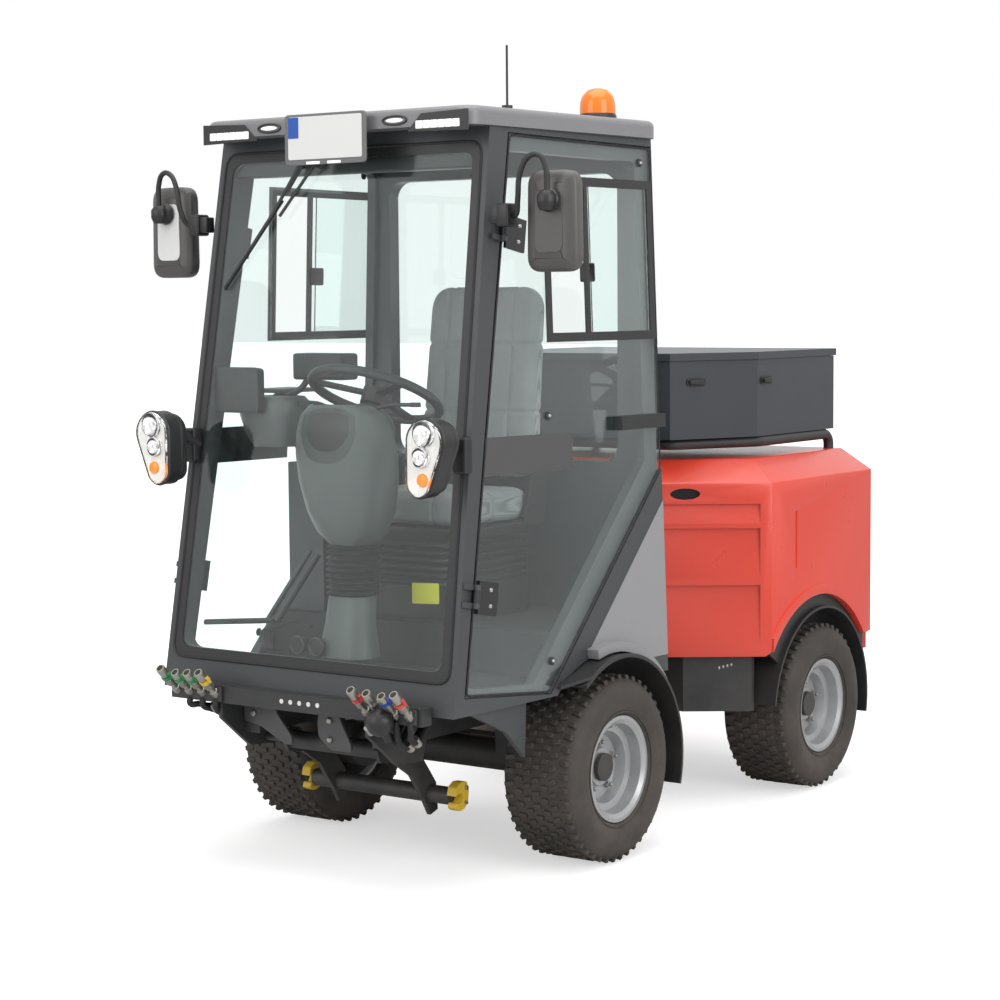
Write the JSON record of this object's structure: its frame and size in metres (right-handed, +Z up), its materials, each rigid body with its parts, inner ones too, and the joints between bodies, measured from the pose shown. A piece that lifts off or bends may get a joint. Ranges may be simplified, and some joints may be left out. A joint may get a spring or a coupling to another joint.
{
  "type": "compact articulated road sweeper",
  "caption": "Compact articulated municipal machine with a glazed cab, front implement linkage, rear engine body and storage box, turf tyres and opening doors.",
  "frame": {"origin": "on the ground, halfway along the machine, on its middle plane", "axes": "+Z up, the cab faces -Y, +X is the vehicle's left"},
  "size_m": [1.422, 2.2998, 2.1629],
  "materials": {
    "frame_dark": "satin",
    "chassis_black": "satin",
    "body_red": "gloss",
    "roof_grey": "satin",
    "panel_grey": "satin",
    "pane": "clear",
    "black_plastic": "matt",
    "tread_rubber": "matt",
    "rim_silver": "satin",
    "seat_cloth": "woven",
    "hook_yellow": "gloss",
    "coupler_steel": "bright",
    "lamp_clear": "gloss",
    "lamp_red": "gloss",
    "beacon_amber": "gloss",
    "box_anthracite": "satin",
    "engine_iron": "rough",
    "rod_chrome": "polished"
  },
  "bodies": {
    "front_frame": {"front_chassis": "chassis_black", "front_axle": "chassis_black", "cab_frame": "frame_dark", "cab_glass": "pane", "quarter_panels": "panel_grey", "cab_tub": "frame_dark", "roof_shell": "roof_grey", "work_lamps": "lamp_clear", "front_fenders": "black_plastic", "linkage_carrier": "frame_dark", "coupler_banks": "coupler_steel", "seat_base": "black_plastic", "seat_cushion": "seat_cloth", "seat_back": "seat_cloth", "steering_column": "black_plastic", "side_console": "black_plastic", "plate_holder": "black_plastic", "beacon": "beacon_amber", "antenna": "black_plastic", "mirrors": "black_plastic"},
    "steering": {"steering_wheel": "black_plastic"},
    "door_l": {"door_left": "frame_dark", "door_left_glass": "pane"},
    "door_r": {"door_right": "frame_dark", "door_right_glass": "pane"},
    "lift": {"lift_frame": "frame_dark", "quick_hooks": "hook_yellow"},
    "barrel": {"lift_barrel": "chassis_black"},
    "rod": {"lift_rod": "rod_chrome"},
    "knuckle": {"pivot_knuckle": "chassis_black"},
    "rear_frame": {"rear_chassis": "chassis_black", "rear_axle": "chassis_black", "engine_block": "engine_iron", "rear_hood": "body_red", "rear_liners": "black_plastic", "side_tanks": "box_anthracite", "tail_lamps": "lamp_red", "box_rail": "chassis_black", "storage_box": "box_anthracite"},
    "tail_hatch": {"tail_door": "body_red"},
    "lid": {"box_lid": "box_anthracite"},
    "wheel_front_left": {"tyre_front_left": "tread_rubber", "rim_front_left": "rim_silver"},
    "wheel_front_right": {"tyre_front_right": "tread_rubber", "rim_front_right": "rim_silver"},
    "wheel_rear_left": {"tyre_rear_left": "tread_rubber", "rim_rear_left": "rim_silver"},
    "wheel_rear_right": {"tyre_rear_right": "tread_rubber", "rim_rear_right": "rim_silver"}
  },
  "joints": [
    {"name": "articulation", "type": "hinge", "parent": "front_frame", "child": "knuckle", "pos_m": [0, 0.217, 0.33], "axis": [0, 0, 1], "range_deg": [-38, 38]},
    {"name": "oscillation", "type": "hinge", "parent": "knuckle", "child": "rear_frame", "pos_m": [0, 0.317, 0.33], "axis": [0, 1, 0], "range_deg": [-8, 8]},
    {"name": "door_left_hinge", "type": "hinge", "parent": "front_frame", "child": "door_l", "pos_m": [0.49286, -0.9269, 0.77593], "axis": [0.0265, -0.1827, -0.9828], "range_deg": [0, 70]},
    {"name": "door_right_hinge", "type": "hinge", "parent": "front_frame", "child": "door_r", "pos_m": [-0.49286, -0.9269, 0.77593], "axis": [0.0265, 0.1827, 0.9828], "range_deg": [0, 70]},
    {"name": "steering_turn", "type": "hinge", "parent": "front_frame", "child": "steering", "pos_m": [0, -0.695, 1.262], "axis": [0, 0.4226, 0.9063], "continuous": true},
    {"name": "lift", "type": "hinge", "parent": "front_frame", "child": "lift", "pos_m": [0, -0.881, 0.345], "axis": [1, 0, 0], "range_deg": [-40, 15]},
    {"name": "barrel_swing", "type": "hinge", "parent": "front_frame", "child": "barrel", "pos_m": [0, -0.535, 0.4], "axis": [1, 0, 0], "range_deg": [-2, 2]},
    {"name": "rod_slide", "type": "slide", "parent": "barrel", "child": "rod", "axis": [0, -0.9985, 0.0546], "range_m": [-0.06, 0.025]},
    {"name": "tail_door_hinge", "type": "hinge", "parent": "rear_frame", "child": "tail_hatch", "pos_m": [0.4225, 1.134, 0.75], "axis": [0, 0, -1], "range_deg": [0, 100]},
    {"name": "lid_hinge", "type": "hinge", "parent": "rear_frame", "child": "lid", "pos_m": [0, 1.107, 1.34], "axis": [-1, 0, 0], "range_deg": [0, 80]},
    {"name": "wheel_front_left_turn", "type": "hinge", "parent": "front_frame", "child": "wheel_front_left", "pos_m": [0.455, -0.37, 0.254], "axis": [1, 0, 0], "continuous": true},
    {"name": "wheel_front_right_turn", "type": "hinge", "parent": "front_frame", "child": "wheel_front_right", "pos_m": [-0.455, -0.37, 0.254], "axis": [1, 0, 0], "continuous": true},
    {"name": "wheel_rear_left_turn", "type": "hinge", "parent": "rear_frame", "child": "wheel_rear_left", "pos_m": [0.455, 0.804, 0.254], "axis": [1, 0, 0], "continuous": true},
    {"name": "wheel_rear_right_turn", "type": "hinge", "parent": "rear_frame", "child": "wheel_rear_right", "pos_m": [-0.455, 0.804, 0.254], "axis": [1, 0, 0], "continuous": true}
  ],
  "couplings": [
    {"joint": "rod_slide", "follows": "lift", "m_per_rad": 0.0755},
    {"joint": "barrel_swing", "follows": "lift", "ratio": 0.02}
  ]
}
